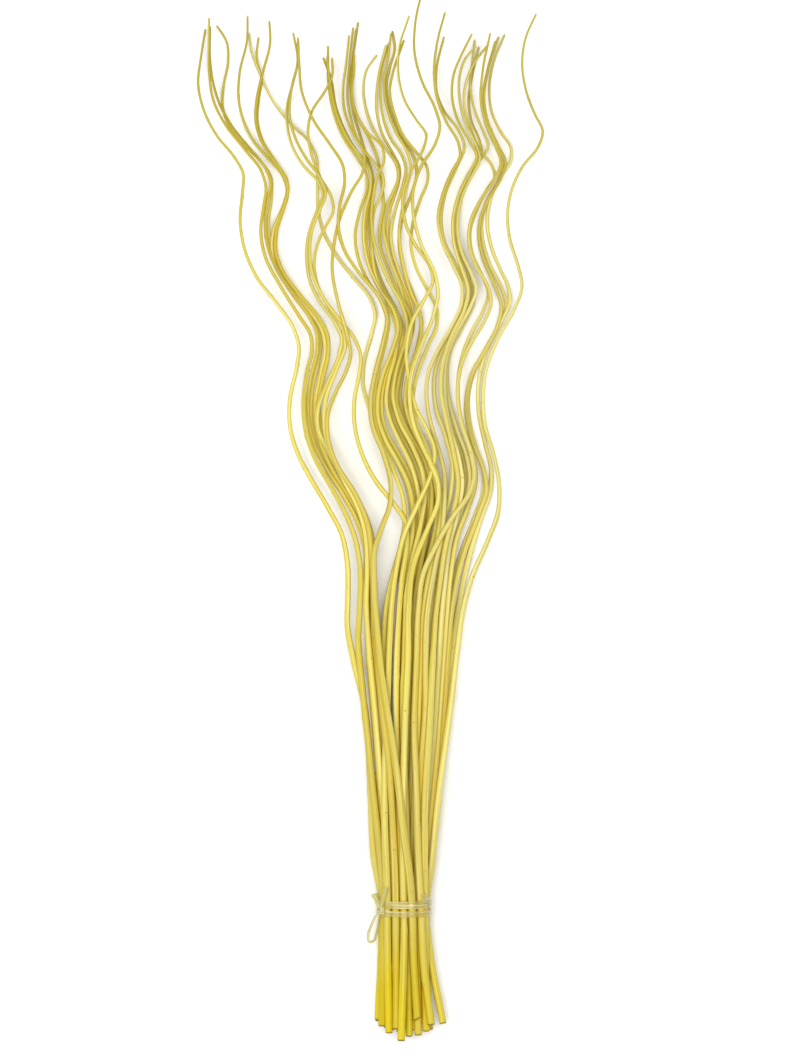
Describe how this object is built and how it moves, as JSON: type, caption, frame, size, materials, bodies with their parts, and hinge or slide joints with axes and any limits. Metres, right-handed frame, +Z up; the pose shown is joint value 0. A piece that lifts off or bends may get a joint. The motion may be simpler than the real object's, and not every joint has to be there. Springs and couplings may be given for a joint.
{
  "type": "curly willow bunch",
  "caption": "Tied bunch of dyed yellow curly willow stems, lying on a surface, with a clear ribbon tied round it above the cut ends.",
  "frame": {"origin": "middle of the lying bunch's box, at the surface it lies on", "axes": "+Y along the stems from the cut ends to the tips, +Z up from the surface it lies on, +X across the bunch"},
  "size_m": [0.3472, 1.0516, 0.0719],
  "materials": {
    "willow": "satin, dyed yellow bark",
    "ribbon": "glossy, translucent film ribbon"
  },
  "bodies": {
    "root": {"stem_left_01": "willow", "stem_left_02": "willow", "stem_left_03": "willow", "stem_left_04": "willow", "stem_left_05": "willow", "stem_left_06": "willow", "stem_left_07": "willow", "stem_left_08": "willow", "stem_left_09": "willow", "stem_left_10": "willow", "stem_middle_01": "willow", "stem_middle_02": "willow", "stem_middle_03": "willow", "stem_middle_04": "willow", "stem_middle_05": "willow", "stem_middle_06": "willow", "stem_middle_07": "willow", "stem_middle_08": "willow", "stem_middle_09": "willow", "stem_middle_10": "willow", "stem_middle_11": "willow", "stem_middle_12": "willow", "stem_middle_13": "willow", "stem_middle_14": "willow", "stem_middle_15": "willow", "stem_middle_16": "willow", "stem_middle_17": "willow", "stem_middle_18": "willow", "stem_right_01": "willow", "stem_right_02": "willow", "stem_right_03": "willow", "stem_right_04": "willow", "stem_right_05": "willow", "stem_right_06": "willow", "stem_right_07": "willow", "stem_right_08": "willow", "stem_right_09": "willow", "stem_right_10": "willow", "stem_right_11": "willow", "stem_right_12": "willow", "tie_ribbon": "ribbon"}
  },
  "joints": []
}
